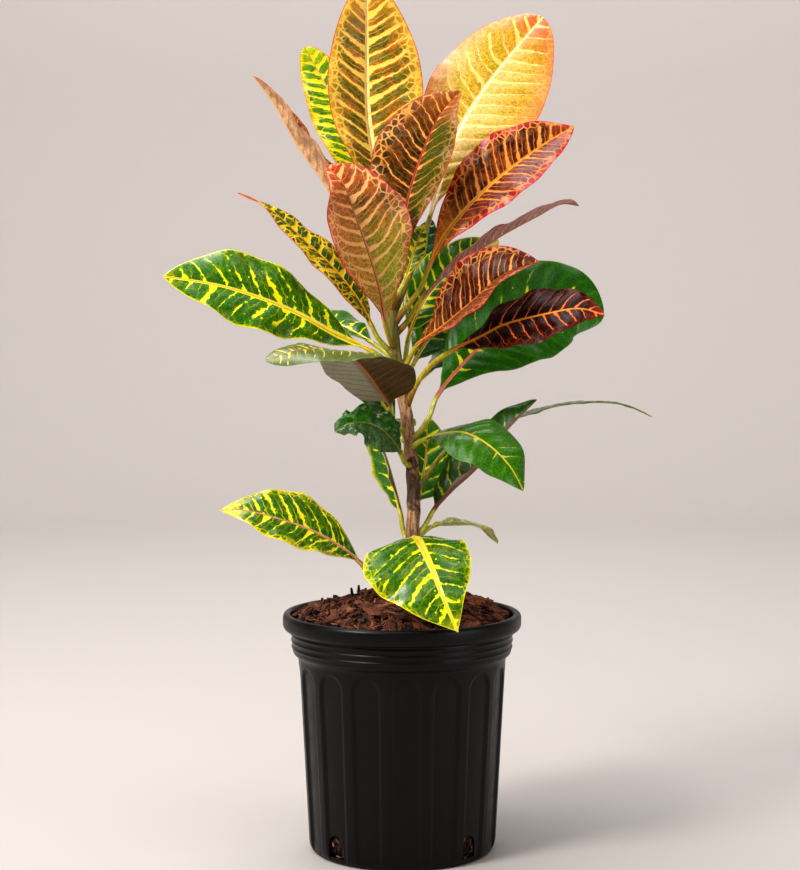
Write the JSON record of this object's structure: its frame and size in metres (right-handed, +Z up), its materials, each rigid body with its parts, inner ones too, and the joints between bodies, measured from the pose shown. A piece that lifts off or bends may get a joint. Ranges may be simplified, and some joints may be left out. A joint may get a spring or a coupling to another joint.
{
  "type": "potted croton",
  "caption": "Young croton plant with broad gold, red and dark green leaves on one woody trunk, standing in a ribbed black nursery pot filled with bark mix.",
  "frame": {"origin": "middle of the pot's flat underside", "axes": "+Z up along the pot's axis, -Y towards the front that the picture shows, +X to the right"},
  "size_m": [0.3335, 0.2349, 0.604],
  "materials": {
    "pot_plastic": "satin black, blow-moulded",
    "bark_mix": "shredded bark, matt",
    "trunk_bark": "rough grey-brown bark",
    "leaf_gold": "glossy leaf, gold with orange veins",
    "leaf_red": "glossy leaf, maroon with orange veins",
    "leaf_green": "glossy leaf, dark green with yellow veins"
  },
  "bodies": {
    "root": {"pot": "pot_plastic", "trunk": "trunk_bark", "leaf_top_gold": "leaf_gold", "leaf_back_lime": "leaf_gold", "leaf_centre_maroon": "leaf_red", "leaf_right_gold": "leaf_gold", "leaf_right_red": "leaf_red", "leaf_centre_pink": "leaf_red", "leaf_left_rose": "leaf_red", "leaf_left_narrow": "leaf_green", "leaf_left_green": "leaf_green", "leaf_arched_brown": "leaf_red", "leaf_torn_dark": "leaf_green", "leaf_under_left": "leaf_green", "leaf_left_upright": "leaf_green", "leaf_maroon_right": "leaf_red", "leaf_right_green": "leaf_green", "leaf_red_brown": "leaf_red", "leaf_mid_green": "leaf_green", "leaf_right_rose": "leaf_red", "leaf_back_teal": "leaf_green", "leaf_young_centre": "leaf_gold", "leaf_back_green": "leaf_green", "leaf_front_droop": "leaf_green", "leaf_right_low": "leaf_green", "leaf_edge_line": "leaf_green", "leaf_behind_trunk": "leaf_green", "leaf_front_low": "leaf_green", "leaf_left_low": "leaf_green", "leaf_right_small": "leaf_green", "leaf_rear_high": "leaf_red", "leaf_rear_left": "leaf_green", "leaf_rear_right": "leaf_green", "leaf_rear_middle": "leaf_green", "leaf_rear_low": "leaf_green", "bark_mix": "bark_mix"}
  },
  "joints": []
}
